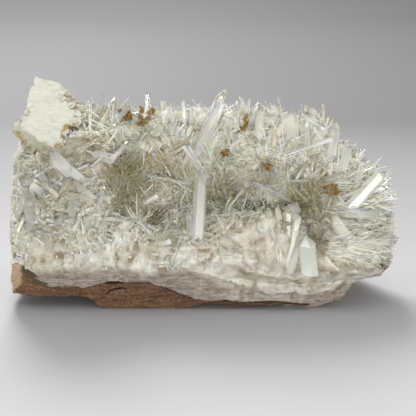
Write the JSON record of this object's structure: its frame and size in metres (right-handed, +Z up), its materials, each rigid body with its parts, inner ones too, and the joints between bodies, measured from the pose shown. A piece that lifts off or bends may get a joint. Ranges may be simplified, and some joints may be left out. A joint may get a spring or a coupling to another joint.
{
  "type": "quartz crystal cluster",
  "caption": "Clear quartz needles and larger six-sided crystals grown on a bed of milky quartz over a slab of brown rock, with a cream feldspar block at one end.",
  "frame": {"origin": "on the flat foot of the host rock, near the middle of the cluster's length and depth", "axes": "+X along the cluster from the feldspar block to the pointed end, +Y from the broken front edge to the back, +Z up from the surface it rests on"},
  "size_m": [0.178, 0.0926, 0.1005],
  "materials": {
    "rock": "rough broken brown rock",
    "quartz": "clear and milky quartz with bright crystal faces",
    "feldspar": "chalky cream with tan pits",
    "ochre": "granular ochre brown"
  },
  "bodies": {
    "root": {"host_rock": "rock", "quartz_cluster": "quartz", "feldspar_block": "feldspar", "ochre_grains_1": "ochre", "ochre_grains_2": "ochre", "ochre_grains_3": "ochre", "ochre_grains_4": "ochre", "ochre_grains_5": "ochre", "ochre_grains_6": "ochre"}
  },
  "joints": []
}
